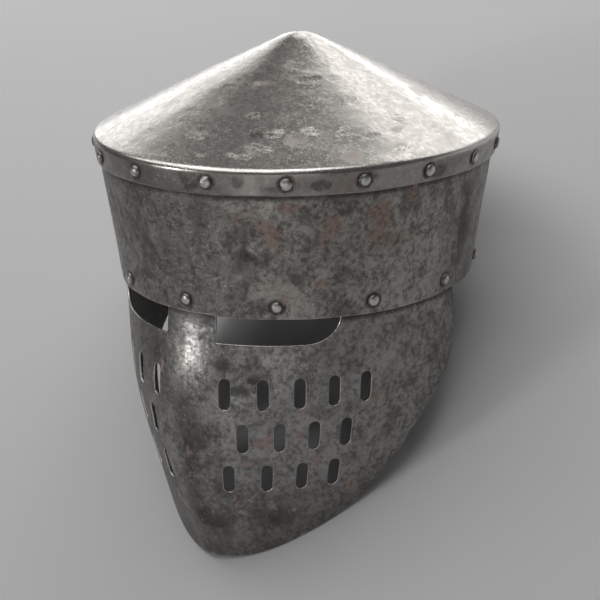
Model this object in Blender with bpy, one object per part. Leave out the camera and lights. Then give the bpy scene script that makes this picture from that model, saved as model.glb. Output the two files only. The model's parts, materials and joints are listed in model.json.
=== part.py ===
"""A steel helm: a low conical crown, a flared brow band and a pierced face plate.

The helm is built upright. The wearer looks along -Y, and z = 0 is the band's lower edge.
It is then leaned back as a whole, the way it rests by itself on its mouth,
with its chin and the back of its band on the ground.
"""

import math

import bmesh
import bpy
import numpy as np
from mathutils import Matrix, Vector

# Plates and fits
BAND_PLATE = 0.0018
FACE_PLATE = 0.0018
CROWN_PLATE = 0.0020
FIT_GAP = 0.0003

# Brow band, an oval ring measured on its outside
BAND_HALF_WIDTH = 0.1080
BAND_HALF_LENGTH = 0.1203
BAND_HEIGHT = 0.0757      # from its lower edge to the crown's folded edge
BAND_FLARE_WIDE = 0.0090  # how far each side leans out over that height
BAND_FLARE_LONG = 0.0130  # how far the front and the back lean out over it
BAND_LAP = 0.0113         # how far it runs on upwards behind the folded edge

# Crown, a cone whose edge is folded down over the band
CROWN_EDGE = 0.0147       # height of the folded edge
CROWN_FLARE_WIDE = 0.0029  # how far the folded edge leans out at each side
CROWN_FLARE_LONG = 0.0016  # how far it leans out at the front and the back
CROWN_RISE = 0.0608       # from the fold to where the cone's straight sides would meet
FOLD_RADIUS = 0.0035
TIP_REACH = 0.0136        # how far from the middle the rounding of the tip ends

# Face plate, tucked inside the band
FACE_DEPTH = 0.1648       # from the band's lower edge to the chin
FACE_TUCK = 0.0180        # how far it runs up inside the band
CHEEK_ANGLE = 94.6        # where it ends behind the ears, in degrees round from the front

# Eye slots
SIGHT_BRIDGE = 0.0350     # width of the nasal bridge between them
SIGHT_DROP = 0.0164       # how far they open below the band
SIGHT_HEAD = 0.0025       # how far they reach up behind the band
SIGHT_END = 44.8          # their outer ends, in degrees round from the front
SIGHT_ROUND = 10.5        # the sweep of their rounded lower corner, in degrees

# Breathing slots
BREATH_LENGTH = 0.0194
BREATH_WIDTH = 0.0068

# Rivets
SHANK_RADIUS = 0.0020
HEAD_RADIUS = 0.00375
HEAD_RISE = 0.0022
TAIL = 0.0008             # how far a shank stands out inside the helm
CROWN_RIVETS = 18
CROWN_RIVET_FRONT = 0.0490  # between the two at the front, a little wider than the rest
CROWN_RIVET_LIFT = 0.0074  # above the folded edge's lower rim
BAND_RIVET_PAIRS = 5      # pairs beside the front rivet, before the one at the back
BAND_RIVET_STEP = 28.8    # from one to the next round the band, in degrees
BAND_RIVET_LIFT = 0.0082  # above the band's lower edge

# How finely round shapes are cut into flat faces
AROUND = 72
TIP_RINGS = 3
FOLD_STEPS = 3
FACE_COLUMNS = 38
FACE_ROWS = 12
RIVET_SIDES = 8
DOME_STEPS = 3
ROUND_STEPS = 5
SHARP_ANGLE = math.radians(35)
PROBE = 0.0001            # the small step over which a surface's slope is taken
OVAL_SAMPLES = 1441       # how finely an oval's length is added up
CUT_DEPTH = 3             # how many plate thicknesses a cutter reaches to each side
SIGHT_CUT = 0.3           # how far an eye slot's cutter reaches in and out, as a share of the way

# Face plate sections, from the band's edge down to the chin.
# Columns: depth as a share of FACE_DEPTH; reach to the front and to the side as shares
# of the plate's half-length and half-width inside the band; fullness, where 2 is an
# ellipse and less draws the front out into a rounded ridge.
FACE_SECTIONS = [
    (0.00, 1.000, 1.000, 2.00),
    (0.12, 1.024, 1.020, 1.83),
    (0.28, 1.063, 1.014, 1.73),
    (0.43, 1.063, 1.012, 1.62),
    (0.59, 1.040, 0.965, 1.56),
    (0.74, 0.984, 0.898, 1.54),
    (0.93, 0.888, 0.802, 1.58),
    (1.00, 0.850, 0.765, 1.60),
]

# Free edge of the face plate, from the chin round to the back of the cheek.
# Columns: angle as a share of CHEEK_ANGLE; depth as a share of FACE_DEPTH.
FACE_EDGE = [
    (0.00, 1.000),
    (0.11, 0.993),
    (0.21, 0.965),
    (0.32, 0.923),
    (0.42, 0.873),
    (0.53, 0.811),
    (0.63, 0.733),
    (0.74, 0.602),
    (0.79, 0.512),
    (0.84, 0.432),
    (0.90, 0.367),
    (0.95, 0.316),
    (1.00, 0.235),
]

# Rows of breathing slots on each side of the face.
# Columns: depth of the row's middle as a share of FACE_DEPTH; first slot and step
# from slot to slot, in degrees round from the front; number of slots.
BREATH_ROWS = [
    (0.283, 11.5, 10.6, 5),
    (0.457, 16.0, 10.6, 4),
    (0.627, 11.2, 11.1, 4),
]

STEEL = {
    # name: (colour, roughness)
    "crown_steel": ((0.17, 0.16, 0.15), 0.42),
    "band_steel": ((0.14, 0.13, 0.12), 0.48),
    "face_steel": ((0.13, 0.12, 0.11), 0.45),
    "rivet_steel": ((0.22, 0.21, 0.19), 0.35),
}


def clear_scene():
    for thing in list(bpy.data.objects):
        bpy.data.objects.remove(thing, do_unlink=True)


def steel(name):
    """A worn steel finish, made once for each name."""
    if name in bpy.data.materials:
        return bpy.data.materials[name]
    colour, roughness = STEEL[name]
    finish = bpy.data.materials.new(name)
    finish.use_nodes = True
    shader = finish.node_tree.nodes["Principled BSDF"]
    shader.inputs["Base Color"].default_value = (*colour, 1.0)
    shader.inputs["Metallic"].default_value = 1.0
    shader.inputs["Roughness"].default_value = roughness
    return finish


def smooth_curve(rows, column):
    """A natural cubic curve through one column of a table, over the table's first column."""
    places = np.array([row[0] for row in rows])
    values = np.array([row[column] for row in rows])
    steps = np.diff(places)
    slopes = np.diff(values) / steps
    last = len(places) - 1
    system = np.eye(len(places))
    bend_sums = np.zeros(len(places))
    for row in range(1, last):
        system[row, row - 1] = steps[row - 1]
        system[row, row] = 2 * (steps[row - 1] + steps[row])
        system[row, row + 1] = steps[row]
        bend_sums[row] = 6 * (slopes[row] - slopes[row - 1])
    bends = np.linalg.solve(system, bend_sums)

    def value_at(place):
        cell = int(np.clip(np.searchsorted(places, place) - 1, 0, last - 1))
        before = place - places[cell]
        after = places[cell + 1] - place
        step = steps[cell]
        straight = (values[cell] * after + values[cell + 1] * before) / step
        bow_before = bends[cell] * (after**3 / step - step * after) / 6
        bow_after = bends[cell + 1] * (before**3 / step - step * before) / 6
        return straight + bow_before + bow_after

    return value_at


def mirrored_rows(rows):
    """A table's rows with the same rows at the mirrored places before them."""
    other_side = [(-row[0], *row[1:]) for row in reversed(rows[1:])]
    return other_side + rows


section_front = smooth_curve(FACE_SECTIONS, 1)
section_side = smooth_curve(FACE_SECTIONS, 2)
section_fullness = smooth_curve(FACE_SECTIONS, 3)
edge_depth = smooth_curve(mirrored_rows(FACE_EDGE), 1)


def oval_point(halves, angle, height):
    """A point of an oval with these half sizes, by its angle from the front."""
    half_width, half_length = halves
    return Vector((half_width * math.sin(angle), -half_length * math.cos(angle), height))


def grown(halves, margin):
    return (halves[0] + margin, halves[1] + margin)


def between(first, second, share):
    return tuple(a + (b - a) * share for a, b in zip(first, second))


def band_halves(height):
    """Half sizes of the band's outside. Behind the folded edge it runs along the edge's inside."""
    foot = (BAND_HALF_WIDTH, BAND_HALF_LENGTH)
    top = (BAND_HALF_WIDTH + BAND_FLARE_WIDE, BAND_HALF_LENGTH + BAND_FLARE_LONG)
    if height <= BAND_HEIGHT:
        return between(foot, top, height / BAND_HEIGHT)
    fold = (top[0] + CROWN_FLARE_WIDE, top[1] + CROWN_FLARE_LONG)
    return between(top, fold, (height - BAND_HEIGHT) / CROWN_EDGE)


def band_point(angle, height):
    return oval_point(band_halves(height), angle, height)


def folded_edge_point(angle, height):
    """A point of the outside of the crown's folded edge, which laps over the band."""
    return oval_point(grown(band_halves(height), FIT_GAP + CROWN_PLATE), angle, height)


def cone_point(angle, share):
    """A point of the crown's cone: share 0 is its middle and share 1 the sharp line of the fold."""
    halves = grown(band_halves(BAND_HEIGHT + CROWN_EDGE), FIT_GAP + CROWN_PLATE)
    tip_share = 2 * TIP_REACH / (halves[0] + halves[1])
    fall = share
    if share < tip_share:
        fall = tip_share / 2 + share**2 / (2 * tip_share)
    height = BAND_HEIGHT + CROWN_EDGE + CROWN_RISE * (1 - fall)
    return oval_point((halves[0] * share, halves[1] * share), angle, height), tip_share


def face_point(angle, height):
    """A point of the face plate's outside. Inside the band it follows the band's wall."""
    half_width, half_length = grown(band_halves(max(height, 0.0)), -BAND_PLATE - FIT_GAP)
    depth = max(-height / FACE_DEPTH, 0.0)
    front = half_length * section_front(depth)
    side = half_width * section_side(depth)
    fullness = section_fullness(depth)
    along = abs(math.cos(angle)) / front
    across = abs(math.sin(angle)) / side
    reach = (along**fullness + across**fullness) ** (-1 / fullness)
    return Vector((reach * math.sin(angle), -reach * math.cos(angle), height))


def face_edge_height(angle):
    return -FACE_DEPTH * edge_depth(angle / math.radians(CHEEK_ANGLE))


def frame_on(surface, angle, height):
    """A frame on a surface: X runs along it, Y up it and Z straight out of it."""
    here = surface(angle, height)
    along = surface(angle + PROBE, height) - surface(angle - PROBE, height)
    up = surface(angle, height + PROBE) - surface(angle, height - PROBE)
    along.normalize()
    out = along.cross(up).normalized()
    up = out.cross(along)
    frame = Matrix((along, up, out)).transposed().to_4x4()
    frame.translation = here
    return frame


def fillet(before, corner, after, radius, steps):
    """The points of an arc that rounds off a corner."""
    toward_before = (before - corner).normalized()
    toward_after = (after - corner).normalized()
    half_angle = toward_before.angle(toward_after) / 2
    setback = radius / math.tan(half_angle)
    middle = (toward_before + toward_after).normalized()
    centre = corner + middle * (radius / math.sin(half_angle))
    first = corner + toward_before * setback - centre
    last = corner + toward_after * setback - centre
    return [centre + first.slerp(last, step / steps) * radius for step in range(steps + 1)]


def sheet_rings(mesh, rings, closed):
    """Joins rings of vertices, each as long as the next, into a sheet of faces."""
    for upper, lower in zip(rings, rings[1:]):
        count = len(upper)
        for i in range(count if closed else count - 1):
            j = (i + 1) % count
            mesh.faces.new((lower[i], lower[j], upper[j], upper[i]))


def add_rings(mesh, rows):
    return [[mesh.verts.new(point) for point in row] for row in rows]


def turned_body(mesh, profile, sides, frame):
    """Adds a closed turned body: a profile of (radius, height) from its top to its bottom."""
    angles = [2 * math.pi * i / sides for i in range(sides)]
    rows = []
    for radius, height in profile:
        rows.append([frame @ Vector((radius * math.cos(a), radius * math.sin(a), height)) for a in angles])
    rings = add_rings(mesh, rows)
    sheet_rings(mesh, rings, closed=True)
    mesh.faces.new(rings[0])
    mesh.faces.new(list(reversed(rings[-1])))


def new_object(name, mesh, finish=None):
    """Makes an object of a mesh, shaded smooth but for its real edges."""
    bmesh.ops.recalc_face_normals(mesh, faces=mesh.faces)
    data = bpy.data.meshes.new(name)
    mesh.to_mesh(data)
    mesh.free()
    data.shade_smooth()
    data.set_sharp_from_angle(angle=SHARP_ANGLE)
    thing = bpy.data.objects.new(name, data)
    bpy.context.scene.collection.objects.link(thing)
    if finish:
        data.materials.append(steel(finish))
    return thing


def thicken(thing, thickness):
    """Gives a sheet its thickness on its inner side."""
    wall = thing.modifiers.new("wall", "SOLIDIFY")
    wall.thickness = thickness
    wall.offset = -1
    wall.use_even_offset = True


def cut_with(thing, cutter):
    cutter.hide_render = True
    cutter.display_type = "WIRE"
    cut = thing.modifiers.new("cut", "BOOLEAN")
    cut.operation = "DIFFERENCE"
    cut.solver = "EXACT"
    cut.object = cutter


def even_angles(halves, count, front_gap):
    """Angles of points spaced evenly along an oval, but for the gap between the front two."""
    fine = np.linspace(0.0, 2 * math.pi, OVAL_SAMPLES)
    speed = np.hypot(halves[0] * np.cos(fine), halves[1] * np.sin(fine))
    run = np.concatenate([[0.0], np.cumsum((speed[1:] + speed[:-1]) / 2 * np.diff(fine))])
    step = (run[-1] - front_gap) / (count - 1)
    return [float(np.interp(front_gap / 2 + step * i, run, fine)) for i in range(count)]


def crown_rivet_frames():
    height = BAND_HEIGHT + CROWN_RIVET_LIFT
    halves = grown(band_halves(height), FIT_GAP + CROWN_PLATE)
    angles = even_angles(halves, CROWN_RIVETS, CROWN_RIVET_FRONT)
    return [frame_on(folded_edge_point, angle, height) for angle in angles]


def band_rivet_angles():
    pairs = range(-BAND_RIVET_PAIRS, BAND_RIVET_PAIRS + 1)
    return [math.radians(BAND_RIVET_STEP * k) for k in pairs] + [math.pi]


def holds_face(angle):
    """Whether a band rivet at this angle goes through the face plate too."""
    margin = 2 * HEAD_RADIUS / BAND_HALF_LENGTH
    return abs(angle) < math.radians(CHEEK_ANGLE) - margin


def make_crown():
    """The cone with its rounded tip and folded edge, as one sheet with its thickness inside."""
    mesh = bmesh.new()
    angles = [2 * math.pi * i / AROUND for i in range(AROUND)]
    tip_share = cone_point(0.0, 0.0)[1]
    tip_rings = [tip_share * ring / TIP_RINGS for ring in range(1, TIP_RINGS + 1)]
    rows = [[cone_point(a, share)[0] for a in angles] for share in tip_rings]
    folds = []
    for angle in angles:
        corner = cone_point(angle, 1.0)[0]
        inward = cone_point(angle, tip_share)[0]
        foot = folded_edge_point(angle, BAND_HEIGHT)
        folds.append(fillet(inward, corner, foot, FOLD_RADIUS, FOLD_STEPS) + [foot])
    rows += [list(row) for row in zip(*folds)]
    rings = add_rings(mesh, rows)
    sheet_rings(mesh, rings, closed=True)
    tip = mesh.verts.new(cone_point(0.0, 0.0)[0])
    for i in range(AROUND):
        mesh.faces.new((tip, rings[0][i], rings[0][(i + 1) % AROUND]))
    crown = new_object("crown", mesh, "crown_steel")
    thicken(crown, CROWN_PLATE)
    return crown


def make_band():
    """The band as a closed ring with level rims."""
    mesh = bmesh.new()
    angles = [2 * math.pi * i / AROUND for i in range(AROUND)]
    heights = [0.0, BAND_HEIGHT, BAND_HEIGHT + BAND_LAP]
    outer = [[band_point(a, h) for a in angles] for h in reversed(heights)]
    inner = [[oval_point(grown(band_halves(h), -BAND_PLATE), a, h) for a in angles] for h in heights]
    rings = add_rings(mesh, outer + inner)
    sheet_rings(mesh, rings + [rings[0]], closed=True)
    return new_object("brow_band", mesh, "band_steel")


def make_face():
    """The face plate, one sheet from inside the band down to its free edge."""
    mesh = bmesh.new()
    reach = math.radians(CHEEK_ANGLE)
    angles = [reach * (2 * i / FACE_COLUMNS - 1) for i in range(FACE_COLUMNS + 1)]
    rows = [[face_point(a, FACE_TUCK) for a in angles]]
    for row in range(FACE_ROWS + 1):
        share = row / FACE_ROWS
        rows.append([face_point(a, face_edge_height(a) * share) for a in angles])
    sheet_rings(mesh, add_rings(mesh, rows), closed=False)
    face = new_object("face_plate", mesh, "face_steel")
    thicken(face, FACE_PLATE)
    return face


def add_holes(mesh, frames):
    """Clearance holes for rivets, wide enough for the shank and its gap."""
    radius = SHANK_RADIUS + FIT_GAP / math.cos(math.pi / RIVET_SIDES)
    depth = CUT_DEPTH * (CROWN_PLATE + BAND_PLATE + FACE_PLATE)
    for frame in frames:
        turned_body(mesh, [(radius, depth), (radius, -depth)], RIVET_SIDES, frame)


def add_prism(mesh, near, far):
    """A closed body between two outlines with as many points each."""
    rings = add_rings(mesh, [near, far])
    sheet_rings(mesh, rings, closed=True)
    mesh.faces.new(rings[0])
    mesh.faces.new(list(reversed(rings[1])))


def add_breath(mesh, angle, height):
    """A slot with round ends, straight up the plate and square through it."""
    frame = frame_on(face_point, angle, height)
    radius = BREATH_WIDTH / 2
    offset = BREATH_LENGTH / 2 - radius
    outline = []
    for end in (1, -1):
        for step in range(ROUND_STEPS + 1):
            turn = math.pi * step / ROUND_STEPS
            outline.append((end * radius * math.cos(turn), end * (offset + radius * math.sin(turn))))
    depth = CUT_DEPTH * FACE_PLATE
    near, far = ([frame @ Vector((x, y, side * depth)) for x, y in outline] for side in (1, -1))
    add_prism(mesh, near, far)


def sight_outline():
    """The eye slot's outline as (angle, height): square at the nose, rounded at its outer end."""
    nose = math.asin(SIGHT_BRIDGE / 2 / -face_point(0.0, -SIGHT_DROP).y)
    end = math.radians(SIGHT_END)
    sweep = math.radians(SIGHT_ROUND)
    outline = [(end, SIGHT_HEAD), (nose, SIGHT_HEAD), (nose, -SIGHT_DROP)]
    for step in range(ROUND_STEPS + 1):
        turn = math.pi / 2 * step / ROUND_STEPS
        outline.append((end - sweep * (1 - math.sin(turn)), -SIGHT_DROP * math.cos(turn)))
    return outline


def add_sight(mesh, side):
    """The cutter of one eye slot, whose walls run to the helm's axis."""
    rings = []
    for share in (1 + SIGHT_CUT, 1 - SIGHT_CUT):
        ring = []
        for angle, height in sight_outline():
            point = face_point(side * angle, height)
            ring.append(Vector((point.x * share, point.y * share, height)))
        rings.append(ring)
    add_prism(mesh, rings[0], rings[1])


def face_cutter(rivet_frames):
    """Everything that is cut through the face plate, as one cutter."""
    mesh = bmesh.new()
    for side in (1, -1):
        add_sight(mesh, side)
        for depth, first, step, count in BREATH_ROWS:
            for k in range(count):
                add_breath(mesh, side * math.radians(first + step * k), -depth * FACE_DEPTH)
    add_holes(mesh, rivet_frames)
    return new_object("face_cutter", mesh)


def hole_cutter(name, rivet_frames):
    mesh = bmesh.new()
    add_holes(mesh, rivet_frames)
    return new_object(name, mesh)


def rivet_mesh(name, grip):
    """A domed rivet, its head just clear of the plates and its shank through them."""
    mesh = bmesh.new()
    profile = []
    for step in range(DOME_STEPS):
        turn = math.pi / 2 * (step + 0.5) / (DOME_STEPS - 0.5)
        profile.append((HEAD_RADIUS * math.sin(turn), FIT_GAP + HEAD_RISE * math.cos(turn)))
    profile.append((SHANK_RADIUS, FIT_GAP))
    profile.append((SHANK_RADIUS, -grip - TAIL))
    turned_body(mesh, profile, RIVET_SIDES, Matrix.Identity(4))
    return mesh


def make_rivets(prefix, frames, grips):
    """One rivet for each frame, with a mesh shared by those of the same grip."""
    rivets = []
    shared = {}
    for number, (frame, grip) in enumerate(zip(frames, grips), start=1):
        name = f"{prefix}_{number:02d}"
        if grip not in shared:
            first = new_object(name, rivet_mesh(name, grip), "rivet_steel")
            shared[grip] = first.data
            rivet = first
        else:
            rivet = bpy.data.objects.new(name, shared[grip])
            bpy.context.scene.collection.objects.link(rivet)
        rivet.matrix_world = frame
        rivets.append(rivet)
    return rivets


def real_points(things):
    """Every vertex of the finished pieces, in the frame that they are built in."""
    bpy.context.view_layer.update()
    graph = bpy.context.evaluated_depsgraph_get()
    points = []
    for thing in things:
        finished = thing.evaluated_get(graph)
        shape = finished.to_mesh()
        points += [thing.matrix_world @ vertex.co for vertex in shape.vertices]
        finished.to_mesh_clear()
    return points


def lay_to_rest(pieces, cutters):
    """Leans the helm back on its mouth, with its chin and the back of its band at z = 0."""
    points = real_points(pieces)
    heel = Vector((0.0, BAND_HALF_LENGTH, 0.0))
    lean = max(math.atan2(heel.z - p.z, heel.y - p.y) for p in points if p.z < heel.z - FIT_GAP)
    turn = Matrix.Rotation(-lean, 4, "X")
    leaned = [turn @ point for point in points]
    lows = [min(point[axis] for point in leaned) for axis in range(3)]
    highs = [max(point[axis] for point in leaned) for axis in range(3)]
    helm = bpy.data.objects.new("helm", None)
    bpy.context.scene.collection.objects.link(helm)
    for thing in pieces + cutters:
        thing.parent = helm
    helm.rotation_euler = (-lean, 0.0, 0.0)
    helm.location = (-(lows[0] + highs[0]) / 2, -(lows[1] + highs[1]) / 2, -lows[2])


def main():
    clear_scene()
    crown = make_crown()
    band = make_band()
    face = make_face()

    crown_frames = crown_rivet_frames()
    band_angles = band_rivet_angles()
    band_frames = [frame_on(band_point, angle, BAND_RIVET_LIFT) for angle in band_angles]
    face_frames = [frame for frame, angle in zip(band_frames, band_angles) if holds_face(angle)]

    crown_cutter = hole_cutter("crown_cutter", crown_frames)
    band_cutter = hole_cutter("band_cutter", crown_frames + band_frames)
    cheek_cutter = face_cutter(face_frames)
    cut_with(crown, crown_cutter)
    cut_with(band, band_cutter)
    cut_with(face, cheek_cutter)

    crown_grips = [CROWN_PLATE + FIT_GAP + BAND_PLATE] * len(crown_frames)
    face_grip = BAND_PLATE + FIT_GAP + FACE_PLATE
    band_grips = [face_grip if holds_face(angle) else BAND_PLATE for angle in band_angles]
    rivets = make_rivets("crown_rivet", crown_frames, crown_grips)
    rivets += make_rivets("band_rivet", band_frames, band_grips)

    lay_to_rest([crown, band, face] + rivets, [crown_cutter, band_cutter, cheek_cutter])


main()
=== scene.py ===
"""The look of the steel helm: finely formed plates and rivets with an aged steel finish.

Shapes are worked out in the helm's upright frame, where the wearer looks along -Y and
z = 0 is the brow band's lower edge, and are then leaned back as the frame says.
"""

import json
import math

import bpy
import numpy as np
from mathutils import Matrix, Vector
from mathutils.geometry import delaunay_2d_cdt


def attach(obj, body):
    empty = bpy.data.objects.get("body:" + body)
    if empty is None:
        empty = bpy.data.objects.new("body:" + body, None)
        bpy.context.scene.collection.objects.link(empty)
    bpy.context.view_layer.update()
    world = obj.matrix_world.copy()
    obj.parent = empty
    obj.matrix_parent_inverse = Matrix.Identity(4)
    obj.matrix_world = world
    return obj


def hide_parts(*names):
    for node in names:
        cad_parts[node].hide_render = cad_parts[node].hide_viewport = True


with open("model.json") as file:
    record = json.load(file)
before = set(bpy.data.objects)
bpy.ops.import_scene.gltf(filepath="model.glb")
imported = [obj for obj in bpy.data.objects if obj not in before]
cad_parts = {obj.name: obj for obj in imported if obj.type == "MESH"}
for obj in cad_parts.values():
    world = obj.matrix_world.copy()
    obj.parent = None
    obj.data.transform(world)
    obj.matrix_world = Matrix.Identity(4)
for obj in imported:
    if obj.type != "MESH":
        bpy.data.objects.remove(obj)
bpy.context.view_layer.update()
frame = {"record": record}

MM = 0.001

# Plates and fits, as the solids have them
BAND_PLATE = 0.0018
FACE_PLATE = 0.0018
CROWN_PLATE = 0.0020
FIT_GAP = 0.0003

# Brow band
BAND_HALF_WIDTH = 0.1080
BAND_HALF_LENGTH = 0.1203
BAND_HEIGHT = 0.0757
BAND_FLARE_WIDE = 0.0090
BAND_FLARE_LONG = 0.0130
BAND_LAP = 0.0113
BAND_TOP = BAND_HEIGHT + BAND_LAP

# Crown
CROWN_EDGE = 0.0147
CROWN_FLARE_WIDE = 0.0029
CROWN_FLARE_LONG = 0.0016
CROWN_RISE = 0.0608
FOLD_RADIUS = 0.0035
TIP_REACH = 0.0136
CONE_RUN = 0.1430         # the length that the way down the cone is counted in
CONE_LEAN = 0.92          # real reach from the middle for each length down the cone
CROWN_END = CONE_RUN + CROWN_EDGE

# Face plate
FACE_DEPTH = 0.1648
FACE_TUCK = 0.0180
CHEEK_ANGLE = math.radians(94.6)

# Eye slots
SIGHT_BRIDGE = 0.0350
SIGHT_DROP = 0.0164
SIGHT_HEAD = 0.0025
SIGHT_END = math.radians(44.8)
SIGHT_ROUND = math.radians(10.5)

# Breathing slots
BREATH_LENGTH = 0.0194
BREATH_WIDTH = 0.0068

# Rivets
SHANK_RADIUS = 0.0020
HEAD_RADIUS = 0.00375
HEAD_RISE = 0.0022
TAIL = 0.0008
CROWN_RIVETS = 18
CROWN_RIVET_FRONT = 0.0490
CROWN_RIVET_LIFT = 0.0074
BAND_RIVET_PAIRS = 5      # pairs beside the front rivet, before the one at the back
BAND_RIVET_STEP = math.radians(28.8)
BAND_RIVET_LIFT = 0.0082
RIVET_SEAT = 0.00015      # how far the head's edge goes under the plate's skin
RIVET_RIM = 0.00035       # the upright edge under the dome
RIVET_DARKENING = (0.0075, 0.0040)  # from a rivet's middle, where the darkening round it ends and is full
RIVET_GRAIN = 0.12        # the length that a rivet's places are counted in for its streaks
RIVET_APART = 0.05        # how far apart the rivets stand in the noise
OVAL_SAMPLES = 1441
RIVET_SIDES = 28
DOME_RINGS = 7

# How the plates are laid flat for their triangles
FACE_SPREAD = 0.1150      # radius at which ways round the face are counted
BAND_SPREAD = 0.1200      # radius of the band's top edge when laid flat as a ring
CROWN_SPACING = 0.00110
BAND_SPACING = 0.00130
FACE_SPACING = 0.00095
INNER_SPACING = 0.00350
EDGE_SPACING = 0.00100
EDGE_ROUND = 0.00045      # the worn rounding of every plate's edge
EDGE_STEPS = 3
WAVER_WIDTH = 0.035       # how long the waves of a hand-cut edge are
FACE_EDGE_POINTS = 121
SIGHT_CORNER_POINTS = 12
SLOT_END_POINTS = 12
SLOT_SIDE_POINTS = 14
CLEAR = 0.6               # least distance from an outline to the fill, in spacings
MERGE_REACH = 1e-9
PROBE = 0.00005

# Noise: where its lattice starts, and the numbers that scramble a corner into its height
SEED = 11
LATTICE_START = 1000.0
CORNER_FACTORS = (73856093, 19349663, 83492791)
SEED_FACTOR = 97531
MIX_FACTOR = 1274126177
MIX_BITS = 0x7FFFFFFF
HEIGHT_BITS = 0xFFFF

# The helm's place in the frame, read from the seat that the record gives for the head
HEAD_SEAT_HEIGHT = 0.060

# Camera, in the upright frame: where it stands, what it looks at, and its lens
CAMERA_PLACE = Vector((0.49478, -0.77848, 0.27463))
CAMERA_AIM = Vector((0.00077, -0.00031, -0.02563))
CAMERA_LENS = 89.6
SENSOR = 36.0

WORLD_GREY = (0.80, 0.80, 0.80, 1.0)
WORLD_STRENGTH = 0.08
FLOOR_HALF = 12.0
FLOOR_TONES = ((0.52, 0.52, 0.52), (0.56, 0.56, 0.56))

# Soft panels round the helm. Columns: name; azimuth and elevation in degrees; distance,
# width and height in metres; brightness.
PANELS = [
    ("overhead", -165, 76, 2.0, 1.9, 1.9, 1.60),
    ("back_high", -162, 33, 2.4, 3.0, 0.8, 0.08),
    ("back_low", -178, 10, 1.0, 0.9, 0.34, 1.9),
    ("back_foot", -165, -8, 0.6, 0.50, 0.09, 5.5),
    ("left_low", -133, 9, 1.1, 0.5, 0.26, 1.7),
    ("left_foot", -133, -4, 0.8, 0.4, 0.12, 3.6),
    ("left_floor", -118, 50, 1.3, 0.7, 0.7, 1.6),
    ("right_floor", 164, 50, 1.3, 0.7, 0.7, 1.6),
    ("front_wide", 25, 16, 2.4, 2.6, 1.3, 0.62),
    ("ridge_strip", -36, 34, 2.0, 0.34, 0.26, 22.0),
]

# Finishes by material slot. Columns: dark metal; light metal; roughness; grain, which is how
# often streaks turn round the plate and along it; strength of scratches, film, rust and relief.
FINISHES = {
    "crown_steel": (
        (0.425, 0.403, 0.372), (0.58, 0.555, 0.52), 0.25, (5, 5, 170), 0.7, 0.12, 0.45, 0.24,
    ),
    "band_steel": (
        (0.157, 0.146, 0.133), (0.445, 0.421, 0.392), 0.40, (16, 16, 90), 0.7, 0.44, 1.00, 0.60,
    ),
    "face_steel": (
        (0.150, 0.144, 0.136), (0.39, 0.377, 0.362), 0.38, (22, 22, 110), 0.5, 0.42, 0.90, 0.55,
    ),
    "rivet_steel": (
        (0.13, 0.125, 0.117), (0.31, 0.30, 0.285), 0.34, (60, 60, 400), 0.2, 0.40, 0.80, 0.40,
    ),
}

# Colours of what lies on the steel and of steel rubbed bare. The tarnish and stain colours also serve as
# painted shade, the worn colour also as painted highlights, and PALE as painted glints
RUST = (0.38, 0.275, 0.240)
RUST_DARK = (0.21, 0.152, 0.130)
TARNISH_AND_SHADE = (0.100, 0.094, 0.088)
STAIN_AND_SHADE = (0.050, 0.044, 0.038)
WORN_AND_HIGHLIGHT = (0.66, 0.64, 0.61)
PALE = (0.46, 0.435, 0.41)

# Patterns in the steel. Columns: features to the metre; detail; roughness; twist.
PATTERNS = {
    "clouds": (24.0, 6.0, 0.60, 0.5),
    "mottle": (85.0, 7.0, 0.66, 0.3),
    "blotch": (48.0, 9.0, 0.62, 0.25),
    "speckle": (330.0, 5.0, 0.68, 0.0),
    "glint": (210.0, 5.0, 0.70, 0.0),
    "gaps": (60.0, 4.0, 0.60, 0.0),
    "pits": (520.0, 3.0, 0.60, 0.0),
}
RELIEF_HEIGHT = 0.00055   # what the material's own relief stands for, at full strength
# Masks kept at the vertices. The tarnish, stain and grime masks also carry painted shade, and the wear
# mask also carries painted highlights.
MASKS = ("rust", "stain", "wear", "grime", "scars", "tarnish", "polish")

# Unevenness of each plate: slow bows, small dents and pits. Columns: millimetres; width of
# its features in metres; seed.
CROWN_UNEVEN = [(0.55, 0.055, 0), (0.08, 0.016, 5), (0.05, 0.0045, 14)]
BAND_UNEVEN = [(0.60, 0.060, 20), (0.14, 0.018, 24), (0.15, 0.0050, 28)]
FACE_UNEVEN = [(0.55, 0.050, 40), (0.11, 0.015, 44), (0.11, 0.0040, 48)]

# Depths over which the lower face grows dark
CHIN_SHADE = (-0.085, -0.150)

# Face plate sections. Columns: depth as a share of FACE_DEPTH; reach to the front and to
# the side as shares of the half sizes inside the band; fullness, where 2 is an ellipse.
FACE_SECTIONS = np.array([
    (0, 1, 1, 2),
    (0.12, 1.024, 1.020, 1.83),
    (0.28, 1.063, 1.014, 1.73),
    (0.43, 1.063, 1.012, 1.62),
    (0.59, 1.040, 0.965, 1.56),
    (0.74, 0.984, 0.898, 1.54),
    (0.93, 0.888, 0.802, 1.58),
    (1, 0.850, 0.765, 1.60),
])

# Free edge of the face plate. Columns: angle as a share of CHEEK_ANGLE; depth as a share
# of FACE_DEPTH.
FACE_EDGE = np.array([
    (0, 1), (0.11, 0.993), (0.21, 0.965), (0.32, 0.923), (0.42, 0.873),
    (0.53, 0.811), (0.63, 0.733), (0.74, 0.602), (0.79, 0.512), (0.84, 0.432),
    (0.90, 0.367), (0.95, 0.316), (1, 0.235),
])

# Rows of breathing slots. Columns: depth of the row's middle as a share of FACE_DEPTH;
# first slot and step in degrees; number of slots.
BREATH_ROWS = [
    (0.283, 11.5, 10.6, 5),
    (0.457, 16.0, 10.6, 4),
    (0.627, 11.2, 11.1, 4),
]

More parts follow.
